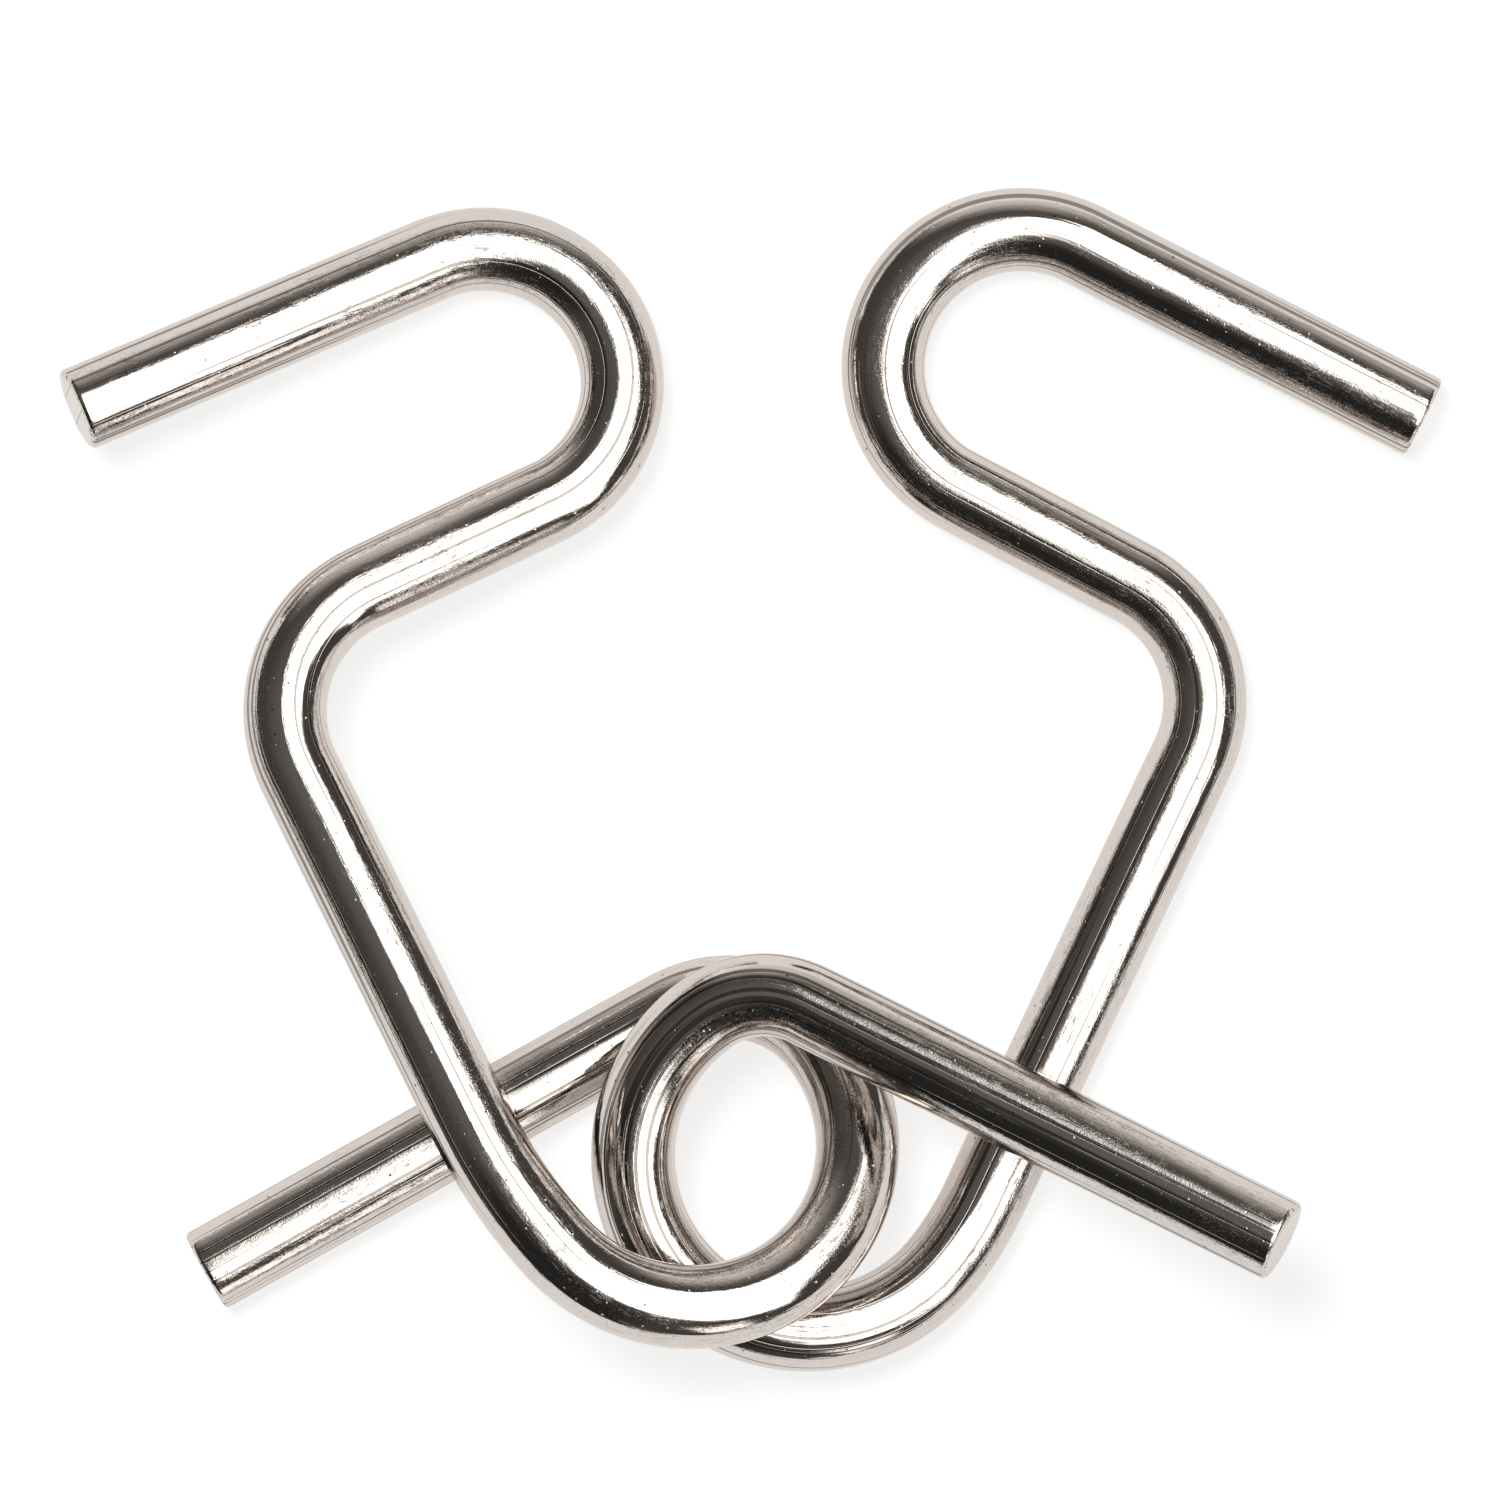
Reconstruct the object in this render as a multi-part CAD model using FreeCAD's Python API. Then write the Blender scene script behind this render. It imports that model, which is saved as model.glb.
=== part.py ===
import FreeCAD, Part
import math
import os

# Two hooks of round wire, linked through the open loops at their lower ends.
# Lengths in mm, angles in degrees. The hooks lie on a table at Z = 0.

WIRE_DIAMETER = 4.0
WIRE_RADIUS = WIRE_DIAMETER / 2
END_ROUND = 0.25        # the sheared ends are tumbled to a small round
LOOP_CLIMB = 0.18       # rise of the loop per length of wire

# Each hook is bent in this order: free arm, hook bend, middle arm, shoulder,
# leg, then the loop, which opens out of the leg on a wide lead-in bend, goes
# round the eye, and closes on a tighter bend into the straight tail.
# Start is the free end, measured from the middle of the shared eye.
LEFT = {
    "start": (-31.7, 35.2),
    "heading": 24.3,
    "arm": 18.4,
    "hook_bend": (6.4, -178.0),
    "middle": 9.6,
    "shoulder": (6.7, 89.8),
    "leg": 18.6,
    "lead_in": (19.2, 18.0),
    "eye": (8.5, 172.6),
    "exit": (5.4, 82.3),
    "tail": 25.1,
    "climb": -LOOP_CLIMB,
}
RIGHT = {
    "start": (31.9, 34.7),
    "heading": 153.0,
    "arm": 18.0,
    "hook_bend": (6.5, 179.2),
    "middle": 9.4,
    "shoulder": (6.3, -87.5),
    "leg": 23.0,
    "lead_in": (12.3, -13.2),
    "eye": (8.2, -196.9),
    "exit": (4.7, -61.1),
    "tail": 25.2,
    "climb": LOOP_CLIMB,
}

# The right hook lies flat. The left hook leans down towards its hook bend. It
# stands on that bend and its tail, just clear of the other loop.
LEFT_LEAN_X = -11.74
LEFT_LEAN_Y = 5.15
LEFT_HEIGHT = 9.86


def direction(heading, slope):
    """Unit vector along a plan heading that climbs at a slope."""
    angle = math.radians(heading)
    return FreeCAD.Vector(math.cos(angle), math.sin(angle), slope).normalize()


class Bender:
    """Feeds wire from the free end and keeps its place, heading and slope."""

    def __init__(self, start, heading):
        self.at = FreeCAD.Vector(start[0], start[1], 0)
        self.heading = heading
        self.slope = 0.0
        self.edges = []

    def straight(self, length):
        end = self.at + direction(self.heading, self.slope) * length
        self.edges.append(Part.LineSegment(self.at, end).toShape())
        self.at = end

    def arc(self, radius, axis, sweep):
        inward = axis.cross(direction(self.heading, self.slope)) * radius
        centre = self.at + inward
        middle = centre - FreeCAD.Rotation(axis, sweep / 2).multVec(inward)
        end = centre - FreeCAD.Rotation(axis, sweep).multVec(inward)
        self.edges.append(Part.Arc(self.at, middle, end).toShape())
        self.at = end

    def level_bend(self, radius, turn):
        upright = FreeCAD.Vector(0, 0, math.copysign(1.0, turn))
        self.arc(radius, upright, abs(turn))
        self.heading += turn

    def lead_in(self, radius, turn, slope):
        """A bend that also tips the wire to the slope of the coil."""
        before = direction(self.heading, self.slope)
        after = direction(self.heading + turn, slope)
        axis = before.cross(after).normalize()
        self.arc(radius, axis, math.degrees(before.getAngle(after)))
        self.heading += turn
        self.slope = slope

    def coil(self, radius, turn):
        """Part of a left-handed coil, at the slope that the wire already has."""
        side = math.copysign(1.0, turn)
        pitch = 2 * math.pi * radius * abs(self.slope)
        edge = Part.makeHelix(pitch, pitch * abs(turn) / 360, radius, 0, True).Edges[0]
        origin = FreeCAD.Vector(0, 0, 0)
        if side > 0:
            edge.rotate(origin, FreeCAD.Vector(1, 0, 0), 180)
        edge.rotate(origin, FreeCAD.Vector(0, 0, 1), self.heading - 90 * side)
        edge.translate(self.at - edge.valueAt(edge.FirstParameter))
        self.edges.append(edge)
        self.at = edge.valueAt(edge.LastParameter)
        self.heading += turn


def wire_path(hook):
    bender = Bender(hook["start"], hook["heading"])
    bender.straight(hook["arm"])
    bender.level_bend(*hook["hook_bend"])
    bender.straight(hook["middle"])
    bender.level_bend(*hook["shoulder"])
    bender.straight(hook["leg"])
    bender.lead_in(*hook["lead_in"], hook["climb"])
    bender.coil(*hook["eye"])
    bender.coil(*hook["exit"])
    bender.straight(hook["tail"])
    return Part.Wire(bender.edges)


def round_ends(rod):
    """Rounds the rim of both sheared ends."""
    rims = []
    for face in rod.Faces:
        if isinstance(face.Surface, Part.Plane):
            rims += face.Edges
    return rod.makeFillet(END_ROUND, rims)


def bent_rod(hook):
    start = FreeCAD.Vector(hook["start"][0], hook["start"][1], 0)
    rim = Part.Circle(start, direction(hook["heading"], 0), WIRE_RADIUS)
    section = Part.Wire(rim.toShape())
    rod = wire_path(hook).makePipeShell([section], True, False)
    return round_ends(rod)


left_hook = bent_rod(LEFT)
left_hook.rotate(FreeCAD.Vector(0, 0, 0), FreeCAD.Vector(0, 1, 0), LEFT_LEAN_Y)
left_hook.rotate(FreeCAD.Vector(0, 0, 0), FreeCAD.Vector(1, 0, 0), LEFT_LEAN_X)
left_hook.translate(FreeCAD.Vector(0, 0, LEFT_HEIGHT))

right_hook = bent_rod(RIGHT)
right_hook.translate(FreeCAD.Vector(0, 0, WIRE_RADIUS))

# The origin is under the middle of the pair, on the table.
box = Part.Compound([left_hook, right_hook]).optimalBoundingBox(False, False)
to_origin = FreeCAD.Vector(-box.Center.x, -box.Center.y, -box.ZMin)

os.makedirs("parts", exist_ok=True)
for node, shape in (("left_hook", left_hook), ("right_hook", right_hook)):
    shape.translate(to_origin)
    shape.exportStep("parts/" + node + ".step")
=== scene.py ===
import math

import bpy
from mathutils import Matrix, Quaternion, Vector


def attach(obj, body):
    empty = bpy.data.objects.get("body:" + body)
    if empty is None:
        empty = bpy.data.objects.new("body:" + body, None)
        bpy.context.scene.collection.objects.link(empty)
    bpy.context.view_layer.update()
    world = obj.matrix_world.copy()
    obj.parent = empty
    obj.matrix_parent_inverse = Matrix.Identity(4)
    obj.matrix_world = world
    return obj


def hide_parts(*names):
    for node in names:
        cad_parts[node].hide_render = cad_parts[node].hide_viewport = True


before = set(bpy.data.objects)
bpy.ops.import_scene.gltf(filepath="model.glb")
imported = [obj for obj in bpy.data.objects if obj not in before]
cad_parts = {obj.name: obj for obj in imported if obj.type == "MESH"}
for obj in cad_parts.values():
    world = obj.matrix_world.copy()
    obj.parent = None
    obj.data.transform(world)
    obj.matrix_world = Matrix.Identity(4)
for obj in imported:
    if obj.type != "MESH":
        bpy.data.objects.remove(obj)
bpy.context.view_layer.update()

MM = 0.001

# The bending of each wire, as in the CAD: lengths in mm, angles in degrees.
WIRE_RADIUS = 2.0
END_ROUND = 0.25
CLIMB = 0.18
TO_FRAME = Vector((-0.196, -17.674, 0.0))   # from the eye's middle to the origin

LEFT = {
    "start": (-31.7, 35.2), "heading": 24.3, "arm": 18.4,
    "hook_bend": (6.4, -178.0), "middle": 9.6, "shoulder": (6.7, 89.8),
    "leg": 18.6, "lead_in": (19.2, 18.0), "eye": (8.5, 172.6),
    "exit": (5.4, 82.3), "tail": 25.1, "climb": -CLIMB,
}
RIGHT = {
    "start": (31.9, 34.7), "heading": 153.0, "arm": 18.0,
    "hook_bend": (6.5, 179.2), "middle": 9.4, "shoulder": (6.3, -87.5),
    "leg": 23.0, "lead_in": (12.3, -13.2), "eye": (8.2, -196.9),
    "exit": (4.7, -61.1), "tail": 25.2, "climb": CLIMB,
}
LEFT_LEAN_X = -11.74
LEFT_LEAN_Y = 5.15
LEFT_HEIGHT = 9.86
LEFT_PLACE = (
    Matrix.Translation(TO_FRAME + Vector((0, 0, LEFT_HEIGHT)))
    @ Matrix.Rotation(math.radians(LEFT_LEAN_X), 4, "X")
    @ Matrix.Rotation(math.radians(LEFT_LEAN_Y), 4, "Y")
)
RIGHT_PLACE = Matrix.Translation(TO_FRAME + Vector((0, 0, WIRE_RADIUS)))

AROUND = 72          # points round the wire
BEND_STEP = 2.0      # degrees of bend from one ring to the next
STRAIGHT_STEP = 0.6  # mm from one ring to the next on a straight
FACE_RINGS = 6       # rings on each flat end face
ROUND_RINGS = 8      # rings over the rounded rim of each end
SETTLED = 0.035      # mm that the wire flattens on a bend of SETTLED_RADIUS
SETTLED_RADIUS = 5.0
BEND_BLEND = 3       # rings on either side that the flattening is averaged over
FACE_RADIUS = WIRE_RADIUS - END_ROUND
NO_BEND = Vector((0, 0, 0))


def direction(heading, slope):
    angle = math.radians(heading)
    return Vector((math.cos(angle), math.sin(angle), slope)).normalized()


class Wire:
    """Rings along a bent wire: place, tangent, and the bend as outward direction over radius."""

    def __init__(self, hook):
        self.at = Vector((*hook["start"], 0.0))
        self.heading = hook["heading"]
        self.slope = 0.0
        self.rings = [(self.at.copy(), direction(self.heading, 0), NO_BEND)]

    def straight(self, length):
        along = direction(self.heading, self.slope)
        count = math.ceil(length / STRAIGHT_STEP)
        for i in range(1, count + 1):
            self.rings.append((self.at + along * (length * i / count), along, NO_BEND))
        self.at = self.rings[-1][0]

    def arc(self, radius, axis, sweep):
        along = direction(self.heading, self.slope)
        inward = axis.cross(along) * radius
        centre = self.at + inward
        count = math.ceil(sweep / BEND_STEP)
        for i in range(1, count + 1):
            turn = Quaternion(axis, math.radians(sweep * i / count))
            self.rings.append((centre - turn @ inward, turn @ along, turn @ inward / radius ** 2))
        self.at = self.rings[-1][0]

    def level_bend(self, radius, turn):
        self.arc(radius, Vector((0, 0, math.copysign(1, turn))), abs(turn))
        self.heading += turn

    def lead_in(self, radius, turn, slope):
        before = direction(self.heading, self.slope)
        after = direction(self.heading + turn, slope)
        self.arc(radius, before.cross(after).normalized(), math.degrees(before.angle(after)))
        self.heading += turn
        self.slope = slope

    def coil(self, radius, turn):
        side = math.copysign(1, turn)
        start = math.radians(self.heading)
        centre = self.at + Vector((-math.sin(start), math.cos(start), 0)) * side * radius
        count = math.ceil(abs(turn) / BEND_STEP)
        for i in range(1, count + 1):
            swept = math.radians(abs(turn) * i / count)
            angle = start + side * swept
            out = Vector((math.sin(angle), -math.cos(angle), 0)) * side
            place = centre + out * radius + Vector((0, 0, radius * swept * self.slope))
            along = direction(math.degrees(angle), self.slope)
            self.rings.append((place, along, -out / radius))
        self.at = self.rings[-1][0]
        self.heading += turn


def bent(hook):
    wire = Wire(hook)
    wire.straight(hook["arm"])
    wire.level_bend(*hook["hook_bend"])
    wire.straight(hook["middle"])
    wire.level_bend(*hook["shoulder"])
    wire.straight(hook["leg"])
    wire.lead_in(*hook["lead_in"], hook["climb"])
    wire.coil(*hook["eye"])
    wire.coil(*hook["exit"])
    wire.straight(hook["tail"])
    return wire.rings


def end_profile():
    """Radius and depth behind the end face, from the middle of the face to the wall."""
    profile = [(FACE_RADIUS * i / FACE_RINGS, 0.0) for i in range(1, FACE_RINGS + 1)]
    for i in range(1, ROUND_RINGS + 1):
        angle = math.radians(90 * i / ROUND_RINGS)
        radius = FACE_RADIUS + END_ROUND * math.sin(angle)
        profile.append((radius, END_ROUND * (1 - math.cos(angle))))
    return profile


def section_frames(rings):
    """For each ring: place, tangent, two directions across, bend, and distance from the start."""
    frames = []
    across = Vector((0, 0, 1))
    last, before, _ = rings[0]
    travelled = 0.0
    for place, along, bend in rings:
        across = before.rotation_difference(along) @ across
        across = (across - along * across.dot(along)).normalized()
        travelled += (place - last).length
        frames.append((place, along, across, along.cross(across), bend, travelled))
        before = along
        last = place
    return frames


def smooth_bend(frames, i):
    near = frames[max(0, i - BEND_BLEND):i + BEND_BLEND + 1]
    total = Vector((0, 0, 0))
    for _, _, _, _, bend, _ in near:
        total += bend
    return total / len(near)


def sections(frames):
    """Sections from end to end: place, two directions across, radius, bend, and distance."""
    start, start_along, start_a, start_b, _, _ = frames[0]
    end, end_along, end_a, end_b, _, length = frames[-1]
    clear = END_ROUND * 1.05    # rings nearer an end would crowd its round
    rows = []
    for radius, depth in end_profile():
        rows.append((start + start_along * depth, start_a, start_b, radius, NO_BEND, depth))
    for i, (place, _, a, b, _, travel) in enumerate(frames):
        if clear < travel < length - clear:
            rows.append((place, a, b, WIRE_RADIUS, smooth_bend(frames, i), travel))
    for radius, depth in reversed(end_profile()):
        rows.append((end - end_along * depth, end_a, end_b, radius, NO_BEND, length - depth))
    return rows


def sweep(rings):
    """Vertices, faces, rod coordinates in mm, and outward directions.

    Rod coordinates are the distance along the wire and a point on its section.
    On an end face they are turned, so that marks run across it.
    """
    frames = section_frames(rings)
    rows = sections(frames)
    start, start_along, _, _, _, _ = frames[0]
    end, end_along, _, _, _, length = frames[-1]
    points, rod, outs, faces = [], [], [], []
    for row, (place, a, b, radius, bend, travel) in enumerate(rows):
        on_face = radius < FACE_RADIUS + 1e-6
        face_out = -start_along if row < len(rows) / 2 else end_along
        tightness = bend.length
        pull = bend.normalized() if tightness > 1e-6 else NO_BEND
        for k in range(AROUND):
            angle = 2 * math.pi * k / AROUND
            out = a * math.cos(angle) + b * math.sin(angle)
            flat = SETTLED * tightness * SETTLED_RADIUS * out.dot(pull) ** 2
            points.append(place + out * (radius - flat))
            outs.append(face_out if on_face else out)
            spot = (radius * math.cos(angle), radius * math.sin(angle))
            rod.append(Vector((*spot, travel) if on_face else (travel, *spot)))
    for i in range(len(rows) - 1):
        for k in range(AROUND):
            n = (k + 1) % AROUND
            faces.append((i * AROUND + k, i * AROUND + n, (i + 1) * AROUND + n, (i + 1) * AROUND + k))
    last_row = (len(rows) - 1) * AROUND
    for base, place, out, travel, order in (
            (0, start, -start_along, 0.0, 1), (last_row, end, end_along, length, -1)):
        middle = len(points)
        points.append(place)
        outs.append(out)
        rod.append(Vector((0, 0, travel)))
        for k in range(AROUND):
            ring = (middle, base + (k + 1) % AROUND, base + k)
            faces.append(ring[::order])
    return points, faces, rod, outs


def wire_piece(name, node, body, hook, place, material):
    points, faces, rod, outs = sweep(bent(hook))
    mesh = bpy.data.meshes.new(name)
    mesh.from_pydata([(place @ p) * MM for p in points], [], faces)
    mesh.validate()
    mesh.polygons.foreach_set("use_smooth", [True] * len(mesh.polygons))
    mesh.attributes.new("rod", "FLOAT_VECTOR", "POINT")
    mesh.attributes["rod"].data.foreach_set("vector", [c for p in rod for c in p])
    # The scuffs are strongest on the sides that lie uppermost at rest.
    mesh.attributes.new("worn", "FLOAT", "POINT")
    turn = place.to_3x3()
    mesh.attributes["worn"].data.foreach_set("value", [max(0.0, (turn @ out).z) for out in outs])
    mesh.materials.append(material)
    mesh.update()
    piece = bpy.data.objects.new(name, mesh)
    bpy.context.scene.collection.objects.link(piece)
    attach(piece, body)
    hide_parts(node)


class Nodes:
    """Short calls for building a node tree."""

    def __init__(self, tree):
        self.tree = tree
        tree.nodes.clear()

    def new(self, kind, inputs=None, **settings):
        node = self.tree.nodes.new(kind)
        for key, value in settings.items():
            setattr(node, key, value)
        for key, value in (inputs or {}).items():
            self.put(value, node.inputs[key])
        return node

    def put(self, value, socket):
        if isinstance(value, bpy.types.NodeSocket):
            self.tree.links.new(value, socket)
        else:
            socket.default_value = value

    def math(self, operation, a, b=0.0, c=0.0):
        return self.new("ShaderNodeMath", {0: a, 1: b, 2: c}, operation=operation).outputs[0]

    def noise(self, vector, scale, detail=2.0, roughness=0.5):
        node = self.new("ShaderNodeTexNoise", {
            "Vector": vector, "Scale": scale, "Detail": detail, "Roughness": roughness})
        return node.outputs["Fac"]

    def stretch(self, vector, scale, place=(0, 0, 0)):
        node = self.new("ShaderNodeMapping", {"Vector": vector, "Scale": scale, "Location": place})
        return node.outputs["Vector"]

    def ramp(self, value, low, high, to_low=0.0, to_high=1.0):
        node = self.new("ShaderNodeMapRange", {
            "Value": value, "From Min": low, "From Max": high,
            "To Min": to_low, "To Max": to_high})
        node.interpolation_type = "SMOOTHSTEP"
        return node.outputs["Result"]

    def mix(self, factor, a, b):
        node = self.new("ShaderNodeMix", data_type="RGBA")
        self.put(factor, node.inputs[0])
        self.put(a, node.inputs[6])
        self.put(b, node.inputs[7])
        return node.outputs[2]

    def bump(self, height, distance, normal=None):
        inputs = {"Height": height, "Distance": distance, "Strength": 1.0}
        if normal is not None:
            inputs["Normal"] = normal
        return self.new("ShaderNodeBump", inputs).outputs["Normal"]


NICKEL_DARK = (0.600, 0.548, 0.512, 1)
NICKEL_LIGHT = (0.645, 0.592, 0.556, 1)
SCUFFED = (0.32, 0.295, 0.272, 1)
SCORED = (0.13, 0.108, 0.09, 1)
PITTED = (0.10, 0.085, 0.07, 1)


def nickel(name, seed):
    """Bright plated nickel. The seed moves the pattern, so that the two hooks differ."""
    material = bpy.data.materials.new(name)
    material.use_nodes = True
    n = Nodes(material.node_tree)
    rod = n.new("ShaderNodeAttribute", attribute_name="rod", attribute_type="GEOMETRY")
    rod = n.stretch(rod.outputs["Vector"], (1, 1, 1), (seed, seed, 0))

    # Slow waves left by bending, and lines drawn along the wire by the die.
    waves = n.noise(n.stretch(rod, (0.15, 0.4, 0.4)), 1.0, 0.0)
    drawn = n.noise(n.stretch(rod, (0.05, 3.2, 3.2)), 1.0, 1.0, 0.5)
    lines = n.noise(n.stretch(rod, (0.12, 8.0, 8.0)), 1.0, 1.0)
    # A few long thin score lines from the die.
    scores = n.ramp(n.noise(n.stretch(rod, (0.02, 4.6, 4.6)), 1.0, 0.0), 0.64, 0.70)
    # Long scuffed stripes, filled with grain and short strokes, and a few pits.
    stripes = n.noise(n.stretch(rod, (0.07, 0.85, 0.85)), 1.0, 2.0, 0.6)
    worn = n.new("ShaderNodeAttribute", attribute_name="worn", attribute_type="GEOMETRY")
    patches = n.ramp(stripes, 0.38, 0.62, 0.05, 1.0)
    patches = n.math("MULTIPLY", patches, n.ramp(worn.outputs["Fac"], 0.35, 0.85, 0.25, 1.0))
    patches = n.math("MULTIPLY", patches, n.ramp(n.noise(rod, 0.35, 3.0), 0.34, 0.60, 0.35, 1.0))
    grain = n.noise(rod, 10.0, 2.0, 0.75)
    strokes = n.noise(n.stretch(rod, (1.6, 9.0, 9.0)), 1.0, 1.0)
    rubbed = n.math("MULTIPLY", n.math("ADD", grain, strokes), n.math("ADD", patches, 0.15))
    specks = n.math("MAXIMUM", n.ramp(grain, 0.50, 0.66), n.ramp(strokes, 0.54, 0.70))
    specks = n.math("MULTIPLY", specks, n.math("MULTIPLY_ADD", patches, 0.92, 0.08))
    crumbs = n.new("ShaderNodeTexVoronoi", {"Vector": rod, "Scale": 1.7}, feature="F1")
    crumbs = n.ramp(crumbs.outputs["Distance"], 0.12, 0.06)

    # Heights of the relief in metres; what is sunk into the surface is negative.
    relief = (
        (waves, 26e-6), (drawn, 7e-6), (lines, 4e-6),
        (rubbed, 8e-6), (crumbs, -8e-6), (scores, -6e-6))
    normal = None
    for pattern, height in relief:
        normal = n.bump(pattern, height, normal)

    tone = n.noise(n.stretch(rod, (0.5, 0.9, 0.9)), 1.0, 3.0)
    colour = n.mix(tone, NICKEL_DARK, NICKEL_LIGHT)
    colour = n.mix(specks, colour, SCUFFED)
    colour = n.mix(n.math("MULTIPLY", scores, 0.8), colour, SCORED)
    flecks = n.new("ShaderNodeTexVoronoi", {"Vector": rod, "Scale": 0.9}, feature="F1")
    fleck = n.ramp(flecks.outputs["Distance"], 0.035, 0.075, 1.0, 0.0)
    colour = n.mix(fleck, colour, PITTED)
    rough = n.math("MULTIPLY_ADD", specks, 0.46, 0.035)
    rough = n.math("MULTIPLY_ADD", crumbs, 0.25, rough)

    shader = n.new("ShaderNodeBsdfPrincipled", {
        "Base Color": colour, "Metallic": 1.0, "Roughness": rough, "Normal": normal,
        "Specular Tint": (0.90, 0.87, 0.84, 1)})
    n.new("ShaderNodeOutputMaterial", {"Surface": shader.outputs["BSDF"]})
    return material


wire_piece("left_wire", "left_hook", "left", LEFT, LEFT_PLACE, nickel("nickel_left", 3.0))
wire_piece("right_wire", "right_hook", "right", RIGHT, RIGHT_PLACE, nickel("nickel_right", 57.0))


# Pale light table: partly lit from below, so that shadows on it stay faint.
TABLE = 6.0    # metres from the middle to each side
paper = bpy.data.materials.new("table")
paper.use_nodes = True
n = Nodes(paper.node_tree)
shader = n.new("ShaderNodeBsdfPrincipled", {
    "Base Color": (0.42, 0.42, 0.42, 1), "Roughness": 0.9, "Specular IOR Level": 0.0,
    "Emission Color": (1, 1, 1, 1), "Emission Strength": 0.75})
n.new("ShaderNodeOutputMaterial", {"Surface": shader.outputs["BSDF"]})
mesh = bpy.data.meshes.new("table")
corners = [(-TABLE, -TABLE, 0), (TABLE, -TABLE, 0), (TABLE, TABLE, 0), (-TABLE, TABLE, 0)]
mesh.from_pydata(corners, [], [(0, 1, 2, 3)])
mesh.materials.append(paper)
table = bpy.data.objects.new("table", mesh)
bpy.context.scene.collection.objects.link(table)


# The room: a large soft box overhead to the right, a pale wall beyond the hook
# bends, and dim surroundings. The even fill lights the table only. Places in it
# are degrees east and north of the zenith. Each side of a shape is a line from
# one point to another, with the shape on its left, and then its softness.
SOFT_BOX = (
    (-13, 22, -5, 0, 6.0), (-5, 2, -2, -16, 3.0), (-2, -16, 20, -40, 3.0),
    (18, -38, 60, -42, 4.0), (59, -28, 50, 18, 3.0), (53, 16, 30, 40, 3.0),
    (26, 41, 3, 37, 3.0), (3, 37, -13, 21, 6.0))
BAR = ((-3, 8, 4, -8, 1.0), (6.5, -7, -0.5, 9, 1.0))
LAMP_SPOT = (
    (22, -64, 30, -80, 3.0), (30, -80, 50, -70, 3.0),
    (50, -70, 44, -54, 3.0), (44, -54, 22, -64, 3.0))
BAR_SHADE = 0.75       # how much of the soft box the bar across it hides
FILL = 0.25            # strength of the even light on the table
BOX_LIGHT = (3.2, 3.2, 3.15, 1)
LAMP_LIGHT = (1.8, 1.75, 1.7, 1)
WALL_LIGHT = (0.90, 0.855, 0.82, 1)
CEILING_LIGHT = (0.17, 0.168, 0.166, 1)
HORIZON_LIGHT = (0.075, 0.070, 0.062, 1)
SHADE_LIGHT = (0.026, 0.026, 0.025, 1)
world = bpy.data.worlds.new("studio")
bpy.context.scene.world = world
world.use_nodes = True
n = Nodes(world.node_tree)
sky = n.new("ShaderNodeTexCoord").outputs["Generated"]
axes = n.new("ShaderNodeSeparateXYZ", {"Vector": sky}).outputs
zenith = n.math("MULTIPLY", n.math("ARCCOSINE", axes["Z"]), 180 / math.pi)
flatness = n.math("SUBTRACT", 1.0, n.math("POWER", axes["Z"], 2.0))
level = n.math("SQRT", n.math("MAXIMUM", flatness, 1e-8))
per = n.math("DIVIDE", zenith, level)
east = n.math("MULTIPLY", axes["X"], per)
north = n.math("MULTIPLY", axes["Y"], per)


def edge(x0, y0, x1, y1, soft):
    """1 on the left of the line from one point to the other, and 0 on its right."""
    length = math.hypot(x1 - x0, y1 - y0)
    a, b = -(y1 - y0) / length, (x1 - x0) / length
    side = n.math("MULTIPLY_ADD", east, a, n.math("MULTIPLY_ADD", north, b, -a * x0 - b * y0))
    return n.ramp(side, -soft, soft)


def shape(sides):
    inside = edge(*sides[0])
    for side in sides[1:]:
        inside = n.math("MULTIPLY", inside, edge(*side))
    return inside


def across(heading):
    """Degrees from the zenith towards a heading, given in degrees from east."""
    angle = math.radians(heading)
    return n.math("MULTIPLY_ADD", east, math.cos(angle), n.math("MULTIPLY", north, math.sin(angle)))


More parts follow.
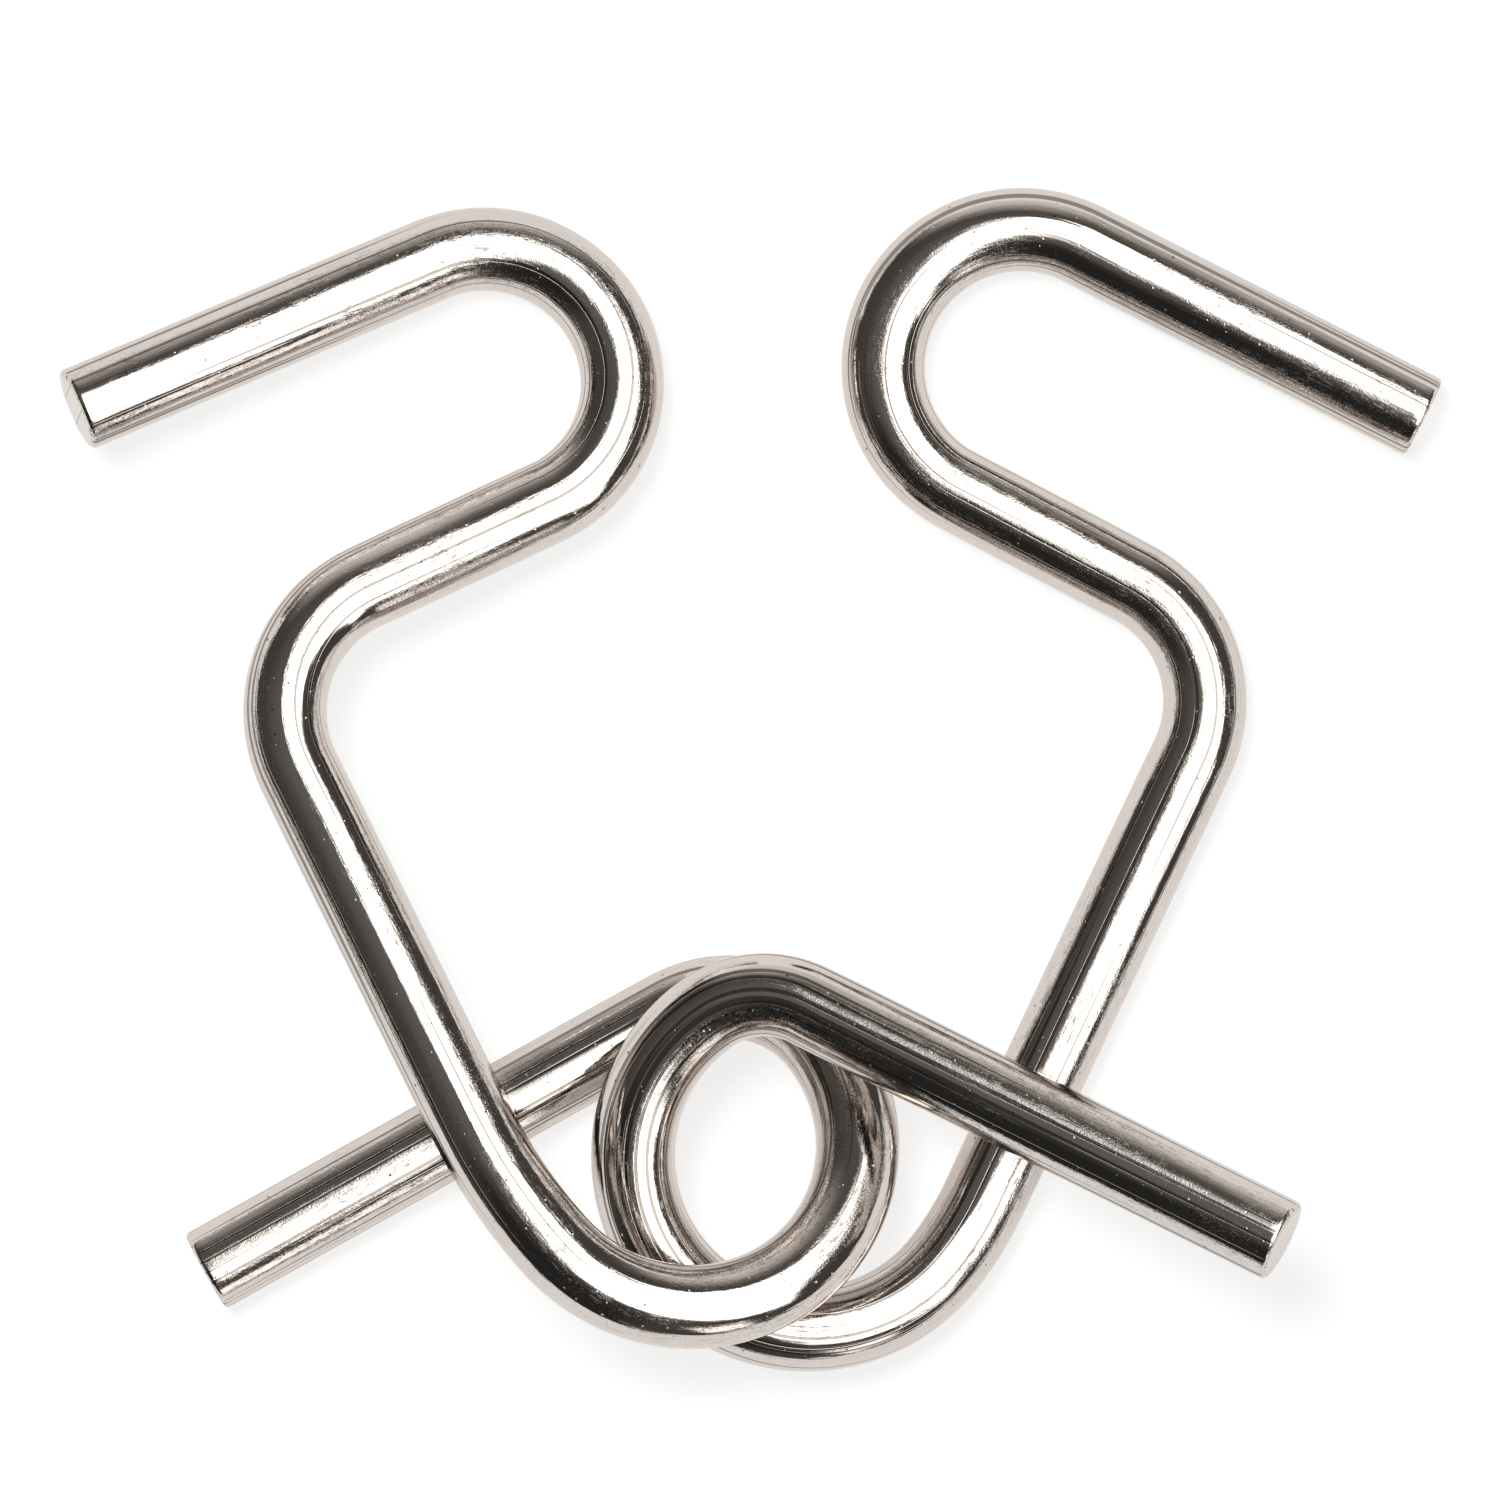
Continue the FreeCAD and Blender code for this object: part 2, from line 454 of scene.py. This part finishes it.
SHADE_HEADING = -120.0
bar = n.math("MULTIPLY", shape(BAR), n.ramp(zenith, 11, 8))
box = n.math("MULTIPLY", shape(SOFT_BOX), n.math("MULTIPLY_ADD", bar, -BAR_SHADE, 1.0))
wall = n.math("MULTIPLY", n.ramp(north, 47, 88), n.ramp(n.math("ABSOLUTE", east), 62, 30))
width = n.math("ABSOLUTE", across(SHADE_HEADING + 90))
shade = n.math("MULTIPLY", n.ramp(across(SHADE_HEADING), 12, 42), n.ramp(width, 46, 22))
room = n.mix(n.ramp(zenith, 8, 70), CEILING_LIGHT, HORIZON_LIGHT)
room = n.mix(shade, room, SHADE_LIGHT)
room = n.mix(wall, room, WALL_LIGHT)
room = n.mix(shape(LAMP_SPOT), room, LAMP_LIGHT)
room = n.mix(box, room, BOX_LIGHT)
rays = n.new("ShaderNodeLightPath").outputs
seen = n.new("ShaderNodeBackground", {"Color": room, "Strength": 1.0}).outputs[0]
fill = n.new("ShaderNodeBackground", {"Color": (1, 1, 1, 1), "Strength": FILL}).outputs[0]
far = n.new("ShaderNodeBackground", {"Color": (1, 1, 1, 1), "Strength": 1.0}).outputs[0]
both = n.new("ShaderNodeMixShader", {0: rays["Is Glossy Ray"], 1: fill, 2: seen}).outputs[0]
both = n.new("ShaderNodeMixShader", {0: rays["Is Camera Ray"], 1: both, 2: far}).outputs[0]
n.new("ShaderNodeOutputWorld", {"Surface": both})


# Key light from the upper left: it gives the table its short soft shadows.
lamp = bpy.data.lights.new("key", "AREA")
lamp.shape = "SQUARE"
lamp.size = 0.35
lamp.energy = 6.6
key = bpy.data.objects.new("key", lamp)
key.location = (-0.18, 0.24, 1.0)
key.rotation_euler = (Vector((0, 0, 0)) - key.location).to_track_quat("-Z", "Y").to_euler()
key.visible_glossy = False
key.visible_camera = False
bpy.context.scene.collection.objects.link(key)


# Straight overhead on a long lens.
DISTANCE = 2.5       # from the lens to the height that the object is framed at
FRAMED_HEIGHT = 0.004
FIELD = 0.07064      # width of the picture at that height
AIM = (-0.00003, 0.00139)
SENSOR = 36.0        # mm
camera = bpy.data.cameras.new("camera")
camera.sensor_width = SENSOR
camera.lens = SENSOR * DISTANCE / FIELD
camera.clip_end = 20.0
viewer = bpy.data.objects.new("camera", camera)
viewer.location = (*AIM, DISTANCE + FRAMED_HEIGHT)
bpy.context.scene.collection.objects.link(viewer)
bpy.context.scene.camera = viewer

bpy.context.scene.view_settings.view_transform = "Standard"
